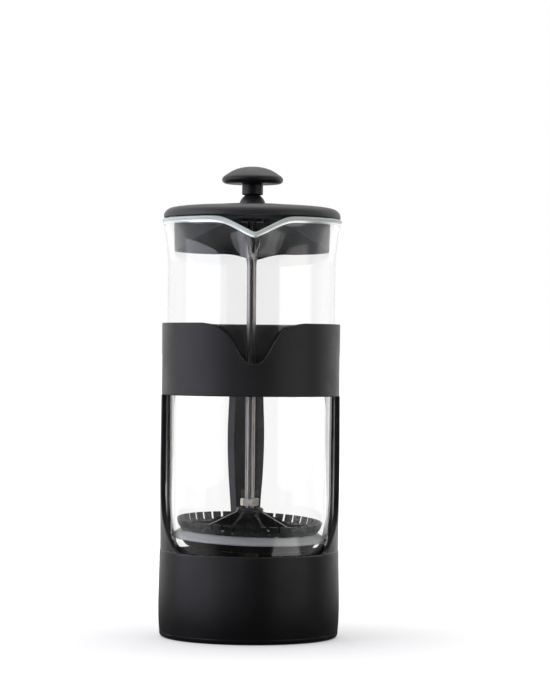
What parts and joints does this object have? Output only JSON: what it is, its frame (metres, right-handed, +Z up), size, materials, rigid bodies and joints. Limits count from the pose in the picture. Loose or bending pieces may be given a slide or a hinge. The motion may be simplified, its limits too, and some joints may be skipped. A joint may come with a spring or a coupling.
{
  "type": "french press",
  "caption": "Press-type coffee maker: glass beaker with a pouring spout in a black plastic frame with collar and rear handle, domed lid, plunger rod and tilting filter.",
  "frame": {"origin": "on the beaker axis at the plane the base stands on", "axes": "+Z up along the plunger rod; -Y towards the spout and the notch of the collar; +Y towards the handle; +X completes a right-handed frame"},
  "size_m": [0.0768, 0.1181, 0.1997],
  "materials": {
    "frame_plastic": "fine satin moulded polypropylene",
    "collar_plastic": "fine satin moulded polypropylene",
    "handle_plastic": "fine satin moulded polypropylene",
    "screw_steel": "zinc plated",
    "beaker_glass": "clear borosilicate with a fire polished rim",
    "lid_plastic": "fine satin moulded polypropylene",
    "skirt_plastic": "semi gloss moulded polypropylene",
    "knob_plastic": "satin moulded plastic",
    "insert_brass": "turned",
    "rod_steel": "drawn stainless steel",
    "nut_steel": "plain stainless steel",
    "filter_plastic": "semi gloss moulded plastic",
    "gasket_silicone": "translucent silicone",
    "mesh_nylon": "woven nylon screen",
    "plate_plastic": "semi gloss moulded plastic"
  },
  "bodies": {
    "frame": {"base_frame": "frame_plastic", "band_collar": "collar_plastic", "handle": "handle_plastic", "handle_screws": "screw_steel"},
    "beaker": {"beaker": "beaker_glass"},
    "lid": {"lid_dome": "lid_plastic", "lid_skirt": "skirt_plastic"},
    "plunger": {"plunger_rod": "rod_steel", "knob": "knob_plastic", "knob_insert": "insert_brass", "upper_nut": "nut_steel", "lower_nut": "nut_steel"},
    "filter": {"filter_top_plate": "filter_plastic", "silicone_gasket": "gasket_silicone", "mesh_screen": "mesh_nylon", "filter_bottom_plate": "plate_plastic"}
  },
  "joints": [
    {"name": "beaker_lift", "type": "slide", "parent": "frame", "child": "beaker", "axis": [0, 0, 1], "range_m": [0, 0.17]},
    {"name": "lid_lift", "type": "slide", "parent": "beaker", "child": "lid", "axis": [0, 0, 1], "range_m": [0, 0.155]},
    {"name": "plunger_press", "type": "slide", "parent": "lid", "child": "plunger", "axis": [0, 0, 1], "range_m": [0, 0.108]},
    {"name": "filter_rock", "type": "hinge", "parent": "plunger", "child": "filter", "pos_m": [0, 0, 0.048], "axis": [0.8291, 0.5591, 0], "range_deg": [-6, 0]}
  ]
}
